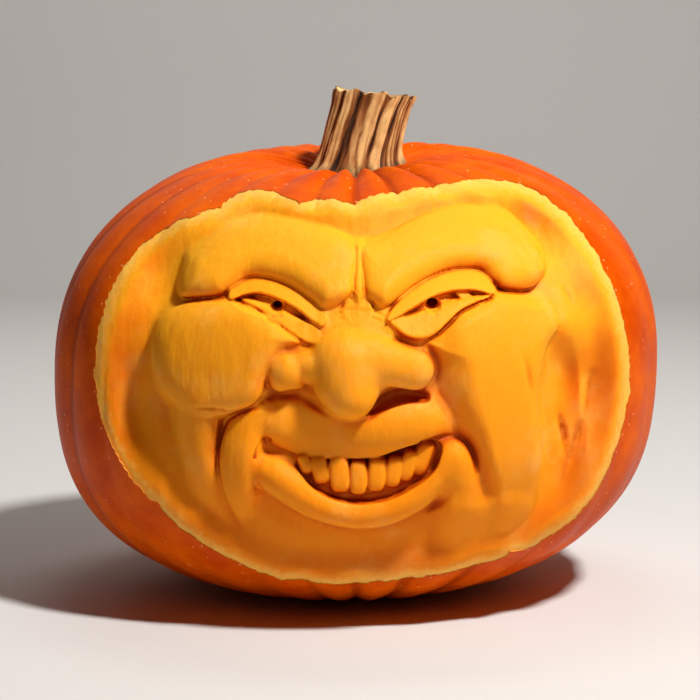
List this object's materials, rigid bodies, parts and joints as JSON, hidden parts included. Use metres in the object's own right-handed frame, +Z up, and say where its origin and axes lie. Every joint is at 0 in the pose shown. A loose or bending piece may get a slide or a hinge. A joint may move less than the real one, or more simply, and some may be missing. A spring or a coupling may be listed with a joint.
{
  "type": "carved pumpkin lantern",
  "caption": "Whole ribbed orange pumpkin with a large snarling face carved in relief into the flesh of its front, and a thick ridged stem on top.",
  "frame": {"origin": "centre of the footprint, on the ground that the pumpkin stands on", "axes": "+Z up along the stem, -Y the way the face looks, +X to the face's right as seen from in front"},
  "size_m": [0.3293, 0.3205, 0.2738],
  "materials": {
    "pumpkin": "carved pumpkin: waxy orange rind, moist yellow-orange flesh where the face is cut",
    "stem": "dry, corky, ridged stem"
  },
  "bodies": {
    "root": {"carved_pumpkin": "pumpkin", "stem": "stem"}
  },
  "joints": []
}
